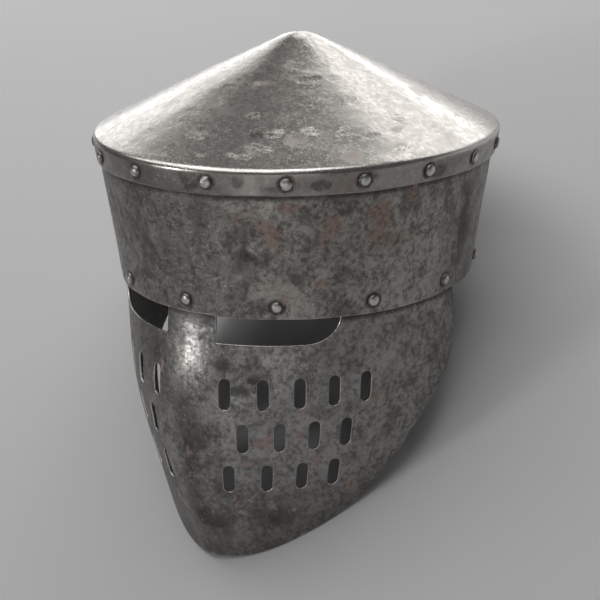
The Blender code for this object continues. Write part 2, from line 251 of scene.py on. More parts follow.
# Hammer and scratch marks on the cone. Columns: angle in degrees; way down the cone as a
# share; length, half-width and depth in millimetres; tilt in degrees.
CONE_MARKS = [
    (0, 0.80, 15, 1.5, 0.18, 3),
    (49, 0.53, 12, 1.4, 0.162, -6),
    (60, 0.57, 11, 1.6, 0.225, -28),
    (53, 0.77, 17, 1.5, 0.171, -4),
    (74, 0.72, 12, 1.7, 0.225, -18),
    (27, 0.76, 16, 1.9, 0.198, 5),
    (-6, 0.47, 13, 1.4, 0.153, -4),
    (-3, 0.57, 10, 1.5, 0.144, 0),
    (19, 0.91, 20, 1.3, 0.153, 10),
    (59, 0.81, 14, 1.3, 0.153, -10),
    (8, 0.45, 9, 1.2, 0.126, 0),
    (39, 0.75, 13, 1.4, 0.144, 0),
    (42, 0.39, 17, 2.4, 0.225, 4),
    (30, 0.30, 13, 2.0, 0.144, 8),
    (18, 0.65, 12, 1.8, 0.153, 6),
    (24, 0.87, 18, 1.8, 0.135, 8),
    (49, 0.88, 12, 1.6, 0.135, -6),
    (-12, 0.66, 14, 1.5, 0.153, 2),
    (66, 0.90, 13, 1.3, 0.135, -8),
    (-20, 0.83, 12, 1.3, 0.144, 6),
    (110, 0.70, 13, 1.5, 0.162, -8),
    (150, 0.80, 16, 1.6, 0.162, 5),
    (-70, 0.75, 14, 1.6, 0.162, -5),
    (-120, 0.60, 12, 1.5, 0.153, 7),
    (-160, 0.85, 15, 1.5, 0.153, -3),
]

# Patches: how ragged they are, how wide their waves, and where they end and are full
PATCH_RAGGED = 0.75
PATCH_WAVES = 0.009
PATCH_EDGE = (1.9, 0.2)

# Rust patches. Columns: angle in degrees; place on the plate, which is the share of the way
# down the cone, past 1 on its folded edge, and elsewhere millimetres above the band's lower
# edge; half-width and half-height in millimetres; strength.
CROWN_RUST = [
    (20, 0.43, 9, 3, 0.9), (31, 0.40, 4, 2, 0.8), (44, 0.35, 4, 2, 0.7), (-2, 0.60, 6, 3, 0.6),
    (35, 0.81, 9, 4, 0.8), (49, 0.93, 7, 4, 0.7), (67, 0.70, 5, 4, 0.7), (69, 0.79, 6, 4, 0.8),
    (82, 0.66, 10, 6, 0.6), (28, 0.91, 6, 3, 0.6), (8, 0.92, 5, 3, 0.5), (108, 0.60, 9, 6, 0.6),
    (12, 1.06, 5, 5, 0.9), (36, 1.05, 7, 4, 0.9), (48, 1.04, 5, 6, 0.9), (165, 0.70, 12, 7, 0.7),
    (-110, 0.80, 10, 6, 0.7), (-150, 0.50, 8, 5, 0.6),
]
BAND_RUST = [
    (26, 61, 5, 5, 0.9), (29, 52, 5, 6, 1.0), (30, 45, 3, 5, 0.9), (34, 69, 8, 3, 0.9),
    (23, 66, 5, 4, 0.6), (45, 57, 4, 6, 0.9), (42, 48, 6, 5, 0.6), (58, 62, 6, 8, 1.0),
    (57, 48, 5, 8, 0.8), (64, 43, 5, 6, 0.7), (69, 70, 3, 5, 0.7), (46, 42, 4, 3, 0.6),
    (42, 21, 5, 3, 0.7), (31, 14, 4, 5, 0.6), (83, 72, 4, 4, 0.6), (-40, 50, 9, 7, 0.7),
    (130, 40, 12, 9, 0.8), (160, 60, 8, 10, 0.7), (-120, 30, 10, 8, 0.8), (-165, 25, 9, 6, 0.6),
]
FACE_RUST = [
    (37, -27, 3, 2, 0.8), (18, -93, 5, 2, 0.9), (21, -79, 3, 3, 0.8), (24, -76, 2, 3, 0.7),
    (14, -128, 3, 2, 0.9), (30, -112, 2, 3, 0.8), (8, -66, 2, 3, 0.8), (33, -58, 2, 2, 0.7),
    (33, -75, 3, 3, 0.7), (38, -92, 3, 5, 0.7), (0, -84, 3, 4, 0.8), (51, -114, 3, 4, 0.8),
    (12, -118, 2, 4, 0.8), (58, -53, 6, 3, 0.7), (-9, -37, 2, 6, 0.8), (-8, -124, 4, 9, 0.8),
    (-4, -108, 3, 8, 0.7), (40, -101, 2, 3, 0.5), (-50, -60, 7, 6, 0.7), (76, -60, 6, 8, 0.5),
]

# Clusters of fine scratches on the band, in the same columns
BAND_SCARS = [
    (45, 69, 8, 4, 0.9), (56, 23, 8, 5, 0.9), (20, 44, 6, 5, 0.6), (72, 24, 7, 5, 0.6),
    (-30, 40, 9, 5, 0.6), (150, 55, 10, 6, 0.7), (-130, 45, 9, 6, 0.7),
]

# Dark stains, in the same columns
CROWN_STAINS = [
    (42, 0.39, 12, 3, 1.0), (30, 0.31, 11, 3, 0.7), (18, 0.64, 12, 5, 0.6), (26, 0.76, 13, 4, 0.8),
    (22, 0.87, 22, 5, 0.7), (50, 0.86, 12, 6, 0.7), (-4, 0.67, 12, 10, 0.6), (-4, 0.49, 9, 7, 0.7),
    (50, 0.54, 13, 4, 0.6), (60, 0.84, 10, 6, 0.6), (140, 0.60, 22, 12, 0.6),
    (-100, 0.60, 20, 10, 0.6), (7, 1.06, 8, 4, 0.9), (20, 1.05, 4, 3, 0.8), (27, 1.07, 7, 4, 0.9),
    (40, 1.06, 8, 3, 0.9), (55, 1.05, 9, 4, 1.0), (75, 1.06, 8, 4, 0.9), (-22, 1.06, 9, 4, 0.8),
    (120, 1.05, 10, 4, 0.9), (-150, 1.06, 11, 4, 0.9),
]
BAND_STAINS = [
    (23, 38, 11, 8, 0.9), (22, 53, 6, 7, 0.7), (6, 62, 9, 8, 0.8), (37, 28, 10, 8, 0.8),
    (16, 62, 9, 8, 0.5), (67, 64, 6, 10, 0.6), (82, 45, 7, 20, 0.8), (93, 45, 9, 34, 1.0),
    (-16, 40, 12, 30, 0.8), (48, 32, 9, 9, 0.6), (-5, 43, 10, 12, 0.6), (50, 70, 8, 4, 0.7),
    (150, 50, 22, 16, 0.7), (-100, 50, 18, 16, 0.7), (-150, 40, 20, 12, 0.7),
]
FACE_STAINS = [
    (18, -20, 5, 4, 0.7), (12, -30, 7, 5, 1.0), (16, -44, 7, 5, 1.0), (20, -38, 8, 3, 1.0),
    (5, -25, 4, 5, 0.6), (4, -77, 8, 10, 0.7), (4, -136, 10, 9, 0.8), (66, -15, 9, 8, 0.7),
    (70, -108, 8, 12, 0.6), (48, -28, 8, 5, 0.5), (26, -130, 14, 8, 0.6), (84, -40, 6, 14, 0.6),
]


# Curves and surfaces

def smooth_curve(rows, column):
    """A natural cubic curve through one column of a table, over the table's first column."""
    places = rows[:, 0]
    values = rows[:, column]
    steps = np.diff(places)
    slopes = np.diff(values) / steps
    last = len(places) - 1
    system = np.eye(len(places))
    bend_sums = np.zeros(len(places))
    for row in range(1, last):
        system[row, row - 1] = steps[row - 1]
        system[row, row] = 2 * (steps[row - 1] + steps[row])
        system[row, row + 1] = steps[row]
        bend_sums[row] = 6 * (slopes[row] - slopes[row - 1])
    bends = np.linalg.solve(system, bend_sums)

    def values_at(place):
        cell = np.clip(np.searchsorted(places, place) - 1, 0, last - 1)
        before = place - places[cell]
        after = places[cell + 1] - place
        step = steps[cell]
        straight = (values[cell] * after + values[cell + 1] * before) / step
        bow_before = bends[cell] * (after**3 / step - step * after) / 6
        bow_after = bends[cell + 1] * (before**3 / step - step * before) / 6
        return straight + bow_before + bow_after

    return values_at


def mirrored_rows(rows):
    """A table's rows with the same rows at the mirrored places before them."""
    other_side = rows[:0:-1].copy()
    other_side[:, 0] *= -1
    return np.concatenate([other_side, rows])


section_front = smooth_curve(FACE_SECTIONS, 1)
section_side = smooth_curve(FACE_SECTIONS, 2)
section_fullness = smooth_curve(FACE_SECTIONS, 3)
edge_depth = smooth_curve(mirrored_rows(FACE_EDGE), 1)


def placed(right, up, out, origin):
    """A frame by its three directions and its origin."""
    place = Matrix((right, up, out)).transposed().to_4x4()
    place.translation = origin
    return place


def helm_matrix():
    """The upright frame's place at rest, from the head's seat in the record."""
    seat = next(m for m in frame["record"]["mounts"] if m["name"] == "head_seat")
    up = -Vector(seat["axis"]).normalized()
    side = Vector((1.0, 0.0, 0.0))
    return placed(side, up.cross(side), up, Vector(seat["pos_m"]) - up * HEAD_SEAT_HEIGHT)


HELM = helm_matrix()


def moved(points, place):
    """Points given in a frame, as they stand outside it."""
    return points @ np.array(place.to_3x3()).T + np.array(place.translation)


def band_halves(height):
    """Half sizes of the band's outside. Behind the folded edge it runs along the edge's inside."""
    climb = np.minimum(height, BAND_HEIGHT) / BAND_HEIGHT
    lap = np.maximum(height - BAND_HEIGHT, 0.0) / CROWN_EDGE
    width = BAND_HALF_WIDTH + BAND_FLARE_WIDE * climb + CROWN_FLARE_WIDE * lap
    length = BAND_HALF_LENGTH + BAND_FLARE_LONG * climb + CROWN_FLARE_LONG * lap
    return width, length


def fold_halves(height):
    width, length = band_halves(height)
    return width + FIT_GAP + CROWN_PLATE, length + FIT_GAP + CROWN_PLATE


def oval(halves, angle, height):
    return np.stack([halves[0] * np.sin(angle), -halves[1] * np.cos(angle), height + 0 * angle], -1)


def crown_surface(angle, run):
    """The crown's outside by the way down it: the cone up to CONE_RUN, then the folded edge."""
    top = BAND_HEIGHT + CROWN_EDGE
    halves = fold_halves(top)
    share = np.clip(run / CONE_RUN, 0.0, 1.0)
    tip_share = 2 * TIP_REACH / (halves[0] + halves[1])
    fall = np.where(share < tip_share, tip_share / 2 + share**2 / (2 * tip_share), share)
    cone = oval((halves[0] * share, halves[1] * share), angle, top + CROWN_RISE * (1 - fall))
    corner = oval(halves, angle, top)
    foot = oval(fold_halves(BAND_HEIGHT), angle, BAND_HEIGHT)
    inward = np.array([0.0, 0.0, top + CROWN_RISE]) - corner
    down = foot - corner
    inward_length = np.linalg.norm(inward, axis=1)
    down_length = np.linalg.norm(down, axis=1)
    past = run - CONE_RUN
    way = np.where(past < 0, past * inward_length / CONE_RUN, past * down_length / CROWN_EDGE)
    inward /= inward_length[:, None]
    down /= down_length[:, None]
    half_angle = np.arccos(np.clip((inward * down).sum(1), -1, 1)) / 2
    setback = FOLD_RADIUS / np.tan(half_angle)
    turn = np.clip((way / setback + 1) / 2, 0.0, 1.0)
    ends = (corner + inward * setback[:, None], corner, corner + down * setback[:, None])
    weights = ((1 - turn) ** 2, 2 * np.sin(half_angle) * turn * (1 - turn), turn**2)
    arc = sum(end * weight[:, None] for end, weight in zip(ends, weights)) / sum(weights)[:, None]
    edge = corner + down * way[:, None]
    straight = np.where((past < 0)[:, None], cone, edge)
    return np.where((np.abs(way) < setback)[:, None], arc, straight)


def band_surface(angle, height):
    return oval(band_halves(height), angle, height)


def face_surface(angle, height):
    """The face plate's outside. Inside the band it follows the band's wall."""
    width, length = band_halves(np.maximum(height, 0.0))
    margin = BAND_PLATE + FIT_GAP
    depth = np.maximum(-height / FACE_DEPTH, 0.0)
    front = (length - margin) * section_front(depth)
    side = (width - margin) * section_side(depth)
    fullness = section_fullness(depth)
    along = np.abs(np.cos(angle)) / front
    across = np.abs(np.sin(angle)) / side
    reach = (along**fullness + across**fullness) ** (-1 / fullness)
    return np.stack([reach * np.sin(angle), -reach * np.cos(angle), height], -1)


# Noise and soft masks

def lattice_noise(points, cell, seed):
    """Smooth noise between -1 and 1 at points in space, with features about a cell wide."""
    places = points / cell + LATTICE_START
    corner = np.floor(places).astype(np.int64)
    part = places - corner
    part = part * part * (3 - 2 * part)
    total = np.zeros(len(places))
    for offset in np.ndindex(2, 2, 2):
        mixed = (corner + np.array(offset)) * CORNER_FACTORS
        code = mixed[:, 0] ^ mixed[:, 1] ^ mixed[:, 2] ^ seed * SEED_FACTOR
        code = (code ^ (code >> 13)) * MIX_FACTOR & MIX_BITS
        code = (code ^ (code >> 15)) & HEIGHT_BITS
        weight = np.prod(np.where(np.array(offset) == 1, part, 1 - part), axis=1)
        total += weight * (2 * code / HEIGHT_BITS - 1)
    return total


def layered_noise(points, cell, seed, layers=3):
    total = np.zeros(len(points))
    for layer in range(layers):
        total += lattice_noise(points, cell / 2**layer, SEED + seed + layer) / 2**layer
    return total


def ease(values, low, high):
    """0 at low, 1 at high, held beyond them, and a smooth way between."""
    share = np.clip((values - low) / (high - low), 0.0, 1.0)
    return share * share * (3 - 2 * share)


def turn_from(angle, degrees):
    """The signed turn from an angle in degrees, the short way round."""
    return (angle - math.radians(degrees) + math.pi) % (2 * math.pi) - math.pi


class Plate:
    """A plate laid flat: how its flat points stand in space, its dents, masks and outlines."""

    def __init__(self, name, thickness, surface, spread, spacing, relief, masks):
        self.name = name
        self.thickness = thickness
        self.surface = surface        # a point of space from an angle and a way along
        self.spread = spread          # the angle and way along of flat points
        self.spacing = spacing
        self.relief = relief
        self.masks = masks
        self.loops = []               # (outline by how far it is moved into the open, whether a hole)

    def add_loop(self, loop, is_hole):
        self.loops.append((loop, is_hole))

    def skin(self, flat):
        return self.surface(*self.spread(flat))

    def slopes(self, flat):
        """How the skin's points move as their flat points move right and up."""
        right = np.array([PROBE, 0.0])
        up = np.array([0.0, PROBE])
        by_right = (self.skin(flat + right) - self.skin(flat - right)) / (2 * PROBE)
        by_up = (self.skin(flat + up) - self.skin(flat - up)) / (2 * PROBE)
        return by_right, by_up

    def normals(self, flat):
        out = np.cross(*self.slopes(flat))
        return out / np.linalg.norm(out, axis=1, keepdims=True)

    def points(self, flat, depth):
        """Points at a depth under the skin, with the skin's dents fading through the plate."""
        skin = self.skin(flat)
        lift = self.relief(skin, *self.spread(flat)) * (1 - depth / self.thickness) - depth
        return skin + self.normals(flat) * lift[:, None]

    def frame_at(self, flat):
        """A frame on the dented skin: X along it, Y up it and Z straight out of it."""
        spot = np.array([flat])
        out = Vector(self.normals(spot)[0])
        angle = self.spread(spot)[0][0]
        level = Vector((math.cos(angle), math.sin(angle), 0.0))
        up = out.cross(level).normalized()
        return placed(up.cross(out), up, out, Vector(self.points(spot, np.zeros(1))[0]))


def spread_from_middle(flat):
    """Angle and distance from the middle."""
    return np.arctan2(flat[:, 0], -flat[:, 1]), np.hypot(flat[:, 0], flat[:, 1])


def spread_band(flat):
    """The band lies flat as a ring, with its top edge inside."""
    angle, reach = spread_from_middle(flat)
    return angle, BAND_SPREAD + BAND_TOP - reach


def spread_face(flat):
    return flat[:, 0] / FACE_SPREAD, flat[:, 1]


def flat_ring(angle, reach):
    return np.array([reach * math.sin(angle), -reach * math.cos(angle)])


def circle_loop(radius, into_open, waver, seed):
    """A closed edge round the middle that wavers a little, as a hand-cut edge does."""
    count = int(2 * math.pi * radius / EDGE_SPACING)
    angles = np.arange(count) * 2 * math.pi / count - math.pi / 2
    around = np.stack([np.cos(angles), np.sin(angles)], 1)
    spots = np.concatenate([around * radius, np.zeros((count, 1))], 1)
    wander = waver * layered_noise(spots, WAVER_WIDTH, seed)

    def loop(shift):
        return around * (radius + into_open * shift + wander)[:, None]

    return loop


def even_steps(points):
    """Points at even steps along a closed line."""
    ends = np.concatenate([points, points[:1]])
    lengths = np.linalg.norm(np.diff(ends, axis=0), axis=1)
    run = np.concatenate([[0.0], np.cumsum(lengths)])
    count = int(round(run[-1] / EDGE_SPACING))
    stops = np.arange(count) * run[-1] / count
    return np.stack([np.interp(stops, run, ends[:, k]) for k in range(2)], 1)


def drawn_loop(corners, into_open, smoothing):
    """A closed anticlockwise line, its corners rounded by repeated averaging."""
    line = even_steps(np.array(corners))
    for _ in range(smoothing):
        line = (np.roll(line, 1, axis=0) + 2 * line + np.roll(line, -1, axis=0)) / 4
    along = np.roll(line, -1, axis=0) - np.roll(line, 1, axis=0)
    along /= np.linalg.norm(along, axis=1, keepdims=True)
    outward = np.stack([along[:, 1], -along[:, 0]], 1)

    def loop(shift):
        return line + outward * into_open * shift

    return loop


def slot_loop(plate, flat):
    """A breathing slot with round ends, true to size on the plate's skin."""
    by_right, by_up = (slope[0] for slope in plate.slopes(np.array([flat])))
    side = by_right / np.linalg.norm(by_right)
    up = np.cross(plate.normals(np.array([flat]))[0], side)
    to_flat = np.linalg.pinv(np.stack([by_right, by_up], 1))
    radius = BREATH_WIDTH / 2
    straight = BREATH_LENGTH / 2 - radius
    turns = np.linspace(0.0, math.pi, SLOT_END_POINTS)
    rises = np.linspace(straight, -straight, SLOT_SIDE_POINTS)[1:-1]

    def loop(shift):
        reach = radius - shift
        upper = np.stack([reach * np.cos(turns), straight + reach * np.sin(turns)], 1)
        left = np.stack([np.full(len(rises), -reach), rises], 1)
        half = np.concatenate([upper, left])
        whole = np.concatenate([half, -half])
        moves = whole[:, :1] * side + whole[:, 1:] * up
        return flat + moves @ to_flat.T

    return loop


# Sheets of triangles

def inside_line(points, line):
    """Which points lie inside a closed line."""
    near = np.flatnonzero(np.all((points >= line.min(0)) & (points <= line.max(0)), axis=1))
    near = near[np.argsort(points[near, 1])]
    heights = points[near, 1]
    result = np.zeros(len(near), bool)
    for a, b in zip(line, np.roll(line, -1, axis=0)):
        low, high = np.searchsorted(heights, sorted((a[1], b[1])))
        if low == high:
            continue
        share = (heights[low:high] - a[1]) / (b[1] - a[1])
        result[low:high] ^= points[near[low:high], 0] < a[0] + share * (b[0] - a[0])
    inside = np.zeros(len(points), bool)
    inside[near] = result
    return inside


def on_plate(points, plate, shift):
    """Which flat points lie on the plate, by outlines moved this far into the open."""
    kept = np.ones(len(points), bool)
    for loop, is_hole in plate.loops:
        kept &= inside_line(points, loop(shift)) != is_hole
    return kept


def hexagonal_points(low, high, spacing):
    """An even pattern of points over a rectangle."""
    columns = np.arange(low[0], high[0], spacing)
    rows = np.arange(low[1], high[1], spacing * math.sqrt(3) / 2)
    across, up = np.meshgrid(columns, rows)
    across[1::2] += spacing / 2
    return np.stack([across.ravel(), up.ravel()], 1)


def flat_sheet(plate, spacing):
    """Flat points of one side of the plate and its triangles. Its outlines' points come first."""
    outlines = [loop(-EDGE_ROUND) for loop, _ in plate.loops]
    edge = np.concatenate(outlines)
    fill = hexagonal_points(edge.min(0), edge.max(0), spacing)
    fill = fill[on_plate(fill, plate, -EDGE_ROUND - CLEAR * spacing)]
    owner = np.concatenate([np.full(len(line), k) for k, line in enumerate(outlines)])
    owner = np.concatenate([owner, np.full(len(fill), -1)])
    links = []
    start = 0
    for line in outlines:
        count = len(line)
        links += [(start + i, start + (i + 1) % count) for i in range(count)]
        start += count
    points = np.concatenate([edge, fill])
    result = delaunay_2d_cdt([Vector(p) for p in points.tolist()], links, [], 0, MERGE_REACH)
    if len(result[0]) != len(points):
        raise RuntimeError(f"{plate.name}: outlines meet or double up")
    triangles = np.array([tuple(face) for face in result[2]])
    owners = owner[triangles]
    doubtful = (owners[:, 0] >= 0) & (owners[:, 0] == owners[:, 1]) & (owners[:, 1] == owners[:, 2])
    kept = np.ones(len(triangles), bool)
    middles = points[triangles[doubtful]].mean(1)
    kept[doubtful] = on_plate(middles, plate, -EDGE_ROUND)
    triangles = triangles[kept]
    a, b, c = (points[triangles[:, k]] for k in range(3))
    clockwise = (b[:, 0] - a[:, 0]) * (c[:, 1] - a[:, 1]) < (b[:, 1] - a[:, 1]) * (c[:, 0] - a[:, 0])
    triangles[clockwise] = triangles[clockwise][:, ::-1]
    return points, triangles


def edge_profile(thickness):
    """The rounded edge of a plate, as (shift into the open, depth) from outside to inside."""
    turns = np.linspace(0.0, math.pi / 2, EDGE_STEPS + 1)
    outer = [(-EDGE_ROUND * (1 - math.sin(t)), EDGE_ROUND * (1 - math.cos(t))) for t in turns]
    inner = [(shift, thickness - depth) for shift, depth in reversed(outer)]
    return outer + inner


def build_plate(plate):
    """The plate as one closed mesh: a fine outside, a plainer inside and rounded edges."""
    outer_flat, outer_faces = flat_sheet(plate, plate.spacing)
    inner_flat, inner_faces = flat_sheet(plate, INNER_SPACING)
    flats = [outer_flat, inner_flat]
    depths = [np.zeros(len(outer_flat)), np.full(len(inner_flat), plate.thickness)]
    inner_start = len(outer_flat)
    faces = [outer_faces, inner_faces[:, ::-1] + inner_start]
    next_free = len(outer_flat) + len(inner_flat)
    profile = edge_profile(plate.thickness)
    loop_start = 0
    for loop, is_hole in plate.loops:
        count = len(loop(0.0))
        rings = [np.arange(count) + loop_start]
        for shift, depth in profile[1:-1]:
            flats.append(loop(shift))
            depths.append(np.full(count, depth))
            rings.append(np.arange(count) + next_free)
            next_free += count
        rings.append(np.arange(count) + loop_start + inner_start)
        loop_start += count
        for upper, lower in zip(rings, rings[1:]):
            if is_hole:
                upper, lower = lower, upper
            ahead_upper = np.roll(upper, -1)
            ahead_lower = np.roll(lower, -1)
            faces.append(np.stack([ahead_upper, upper, lower], 1))
            faces.append(np.stack([ahead_upper, lower, ahead_lower], 1))
    flat = np.concatenate(flats)
    depth = np.concatenate(depths)
    points = plate.points(flat, depth)
    angle, along = plate.spread(flat)
    masks = plate.masks(plate.skin(flat), angle, along, depth)
    return points, np.concatenate(faces), angle, along, masks


def add_object(name, data):
    made = bpy.data.objects.new(name, data)
    bpy.context.scene.collection.objects.link(made)
    return made


def mesh_piece(name, points, faces, around, masks):
    """A smooth-shaded object at rest, with its finish's masks kept at its vertices.

    A mask that isn't given counts as 0.
    """
    mesh = bpy.data.meshes.new(name)
    mesh.vertices.add(len(points))
    mesh.vertices.foreach_set("co", moved(points, HELM).ravel())
    mesh.loops.add(faces.size)
    mesh.loops.foreach_set("vertex_index", faces.ravel())
    mesh.polygons.add(len(faces))
    mesh.polygons.foreach_set("loop_start", np.arange(len(faces)) * 3)
    mesh.update(calc_edges=True)
    mesh.validate()
    mesh.shade_smooth()
    for label, vectors in (("upright", points), ("around", around)):
        layer = mesh.attributes.new(label, "FLOAT_VECTOR", "POINT")
        layer.data.foreach_set("vector", vectors.ravel())
    for label, values in masks.items():
        layer = mesh.attributes.new(label, "FLOAT", "POINT")
        layer.data.foreach_set("value", np.clip(values, 0.0, 1.0))
    return add_object(name, mesh)


# Marks and masks, in metres. A mask goes from 0 to 1.

def patches(skin, angle, along, rows, seed, unit=MM, reach=FACE_SPREAD):
    """Soft ragged patches from a table, each 1 in its middle at full strength."""
    ragged = PATCH_RAGGED * layered_noise(skin, PATCH_WAVES, seed, 4)
    total = np.zeros(len(skin))
    for turn, place, half_width, half_height, strength in rows:
        across = turn_from(angle, turn) * reach / (half_width * MM)
        down = (along - place * unit) / (half_height * MM)
        patch = ease(np.hypot(across, down) + ragged, *PATCH_EDGE)
        total = np.maximum(total, strength * patch)
    return total


def rounded_edge(depth):
    """1 on the outer rounding of a plate's edges."""
    return (depth > 0) & (depth <= EDGE_ROUND)


def near_rivets(skin, frames):
    """1 close around the rivets' heads, fading out over a few millimetres."""
    total = np.zeros(len(skin))
    for place in frames:
        reach = np.linalg.norm(skin - np.array(place.translation), axis=1)
        total = np.maximum(total, ease(reach, *RIVET_DARKENING))
    return total


def around_of(angle, along):
    """Places by direction and by the way along, for streaks and grain that follow the plate."""
    return np.stack([np.sin(angle), -np.cos(angle), along], -1)


def mark_places(angle, run, mark):
    """Along and across one of the cone's marks: 1 is its end and its half-width."""
    turn, share, length, half_width, _, tilt = mark
    across = turn_from(angle, turn) * run * CONE_LEAN
    down = run - share * CONE_RUN
    lean = math.radians(tilt)
    x = (across * math.cos(lean) + down * math.sin(lean)) / (length * MM / 2)
    y = (down * math.cos(lean) - across * math.sin(lean)) / (half_width * MM)
    return x, y


def unevenness(skin, rows, pits_from=0.55):
    """A plate's slow bows, and its small dents and pits together."""
    (bow, bow_width, bow_seed), (dent, dent_width, dent_seed), (pit, pit_width, pit_seed) = rows
    bows = bow * MM * layered_noise(skin, bow_width, bow_seed, 2)
    dents = dent * MM * layered_noise(skin, dent_width, dent_seed)
    pits = pit * MM * ease(layered_noise(skin, pit_width, pit_seed, 2), pits_from, 1.0)
    return bows, dents - pits


def crown_relief(skin, angle, run):
    """The cone is hammered and marked, and its folded edge is calmer."""
    cone = ease(run, CONE_RUN - 0.002, CONE_RUN - 0.012)
    grain = around_of(angle, run / 0.030)
    bows, fine = unevenness(skin, CROWN_UNEVEN)
    lift = bows * (0.35 + 0.65 * cone) + fine + 0.06 * MM * cone * layered_noise(grain, 0.22, 9)
    jag = 0.8 * layered_noise(skin, 0.005, 17)
    for mark in CONE_MARKS:
        x, y = mark_places(angle, run, mark)
        depth = mark[4] * MM * ease(np.abs(x), 1.0, 0.4)
        lift += depth * (0.6 * np.exp(-((y + jag + 1.5) ** 2)) - np.exp(-((y + jag) ** 2)))
    return lift


def band_relief(skin, angle, height):
    """Uneven below the folded edge and true behind it."""
    clear = ease(height, BAND_HEIGHT - 0.001, BAND_HEIGHT - 0.008)
    return sum(unevenness(skin, BAND_UNEVEN)) * clear


def face_relief(skin, angle, height):
    """Uneven below the band and true inside it."""
    clear = ease(height, -0.001, -0.008)
    return sum(unevenness(skin, FACE_UNEVEN, pits_from=0.50)) * clear


def crown_masks(skin, angle, run, depth):
    patchy = 0.5 + 0.5 * layered_noise(skin, 0.012, 60)
    fold = np.exp(-(((run - CONE_RUN) / 0.0018) ** 2))
    rim = ease(run, CROWN_END - 0.0018, CROWN_END - 0.0004)
    reach = CONE_LEAN * run
    scars = np.zeros(len(skin))
    for mark in CONE_MARKS:
        x, y = mark_places(angle, run, mark)
        scars = np.maximum(scars, ease(np.hypot(x, y / 3), 1.5, 0.4))
    return {
        "tarnish": ease(run, CONE_RUN - 0.001, CONE_RUN + 0.004) * (0.30 + 0.70 * patchy),
        "scars": scars,
        "rust": patches(skin, angle, run, CROWN_RUST, 62, CONE_RUN, reach),
        "stain": patches(skin, angle, run, CROWN_STAINS, 65, CONE_RUN, reach),
        # rubbed light along the fold, partly wear and partly a painted highlight along the fold line
        "wear": fold * (0.55 + 0.45 * patchy) + rim * 0.5 * patchy,
        # darker round the rivets, and painted shade over the plate's inside
        "grime": near_rivets(skin, crown_rivet_places) + (depth > EDGE_ROUND),
    }


def band_masks(skin, angle, height, depth):
    patchy = 0.5 + 0.5 * layered_noise(skin, 0.010, 70)
    rim = ease(height, 0.0016, 0.0004)
    under_fold = ease(height, BAND_HEIGHT - 0.0065, BAND_HEIGHT)
    return {
        # painted shade: the band is darker on its -X side and from its sides round to the back
        "tarnish": 0.4 * ease(np.sin(angle), 0.1, -0.5) + 0.5 * ease(np.abs(angle), 1.3, 1.6),
        "scars": patches(skin, angle, height, BAND_SCARS, 77),
        "rust": patches(skin, angle, height, BAND_RUST, 72),
        "stain": patches(skin, angle, height, BAND_STAINS, 75),
        "wear": rim * 0.6 * patchy + 0.5 * rounded_edge(depth),
        # darker round the rivets, and painted shade under the folded edge and over the inside
        "grime": near_rivets(skin, band_rivet_places) + under_fold + (depth > EDGE_ROUND),
    }


def face_masks(skin, angle, height, depth):
    patchy = 0.5 + 0.5 * layered_noise(skin, 0.010, 80)
    ridge = ease(np.abs(angle) * FACE_SPREAD, 0.0100, 0.0010) * ease(height, -0.004, -0.020)
    under_band = ease(height, -0.0070, -0.0005)
    free_edge = -FACE_DEPTH * edge_depth(angle / CHEEK_ANGLE)
    rim = ease(height - free_edge, 0.0022, 0.0006)
    return {
        "polish": ease(np.abs(angle) * FACE_SPREAD, 0.0160, 0.0040) * ease(height, -0.045, -0.020),
        # painted shade: darker at the chin, on the face's -X side and down the nasal ridge below its
        # highlight
        "tarnish": 0.7 * ease(height, *CHIN_SHADE) + 0.7 * ease(angle, -0.05, -0.4)
        + 0.9 * ridge * ease(height, -0.020, -0.032),
        "rust": patches(skin, angle, height, FACE_RUST, 82),
        # stains, and painted shade darkening the chin
        "stain": patches(skin, angle, height, FACE_STAINS, 85)
        + 0.4 * ease(height, *CHIN_SHADE),
        # rubbed light along the edges, and on the nasal ridge partly a painted highlight
        "wear": 0.35 * ridge * patchy + rim * 0.6 * patchy + 0.9 * rounded_edge(depth),
        # painted shade under the band and over the inside
        "grime": under_band + (depth > EDGE_ROUND),
    }


# The three plates

def crown_plate():
    plate = Plate(
        "helm_crown", CROWN_PLATE, crown_surface, spread_from_middle, CROWN_SPACING,
        crown_relief, crown_masks,
    )
    plate.add_loop(circle_loop(CROWN_END, 1, 0.30 * MM, 90), False)
    return plate


def band_plate():
    plate = Plate(
        "helm_brow_band", BAND_PLATE, band_surface, spread_band, BAND_SPACING,
        band_relief, band_masks,
    )
    plate.add_loop(circle_loop(BAND_SPREAD + BAND_TOP, 1, 0.25 * MM, 93), False)
    plate.add_loop(circle_loop(BAND_SPREAD, -1, 0.0, 96), True)
    return plate


def face_outline():
    """The face plate's outline, anticlockwise from the back of one cheek round by the chin."""
    shares = np.linspace(-1.0, 1.0, FACE_EDGE_POINTS)
    across = shares * CHEEK_ANGLE * FACE_SPREAD
    lower = np.stack([across, -FACE_DEPTH * edge_depth(shares)], 1)
    upper = np.array([(across[-1], FACE_TUCK), (across[0], FACE_TUCK)])
    return np.concatenate([lower, upper])


def sight_outline(side):
    """An eye slot's outline: square at the nose and rounded at its lower outer corner."""
    bridge = -face_surface(np.zeros(1), np.array([-SIGHT_DROP]))[0, 1]
    nose = math.asin(SIGHT_BRIDGE / 2 / bridge)
    turns = np.linspace(0.0, math.pi / 2, SIGHT_CORNER_POINTS)
    corner = [(SIGHT_END - SIGHT_ROUND * (1 - math.sin(t)), -SIGHT_DROP * math.cos(t)) for t in turns]
    outline = [(nose, SIGHT_HEAD), (nose, -SIGHT_DROP)] + corner + [(SIGHT_END, SIGHT_HEAD)]
    points = [(side * angle * FACE_SPREAD, height) for angle, height in outline]
    return points if side > 0 else points[::-1]


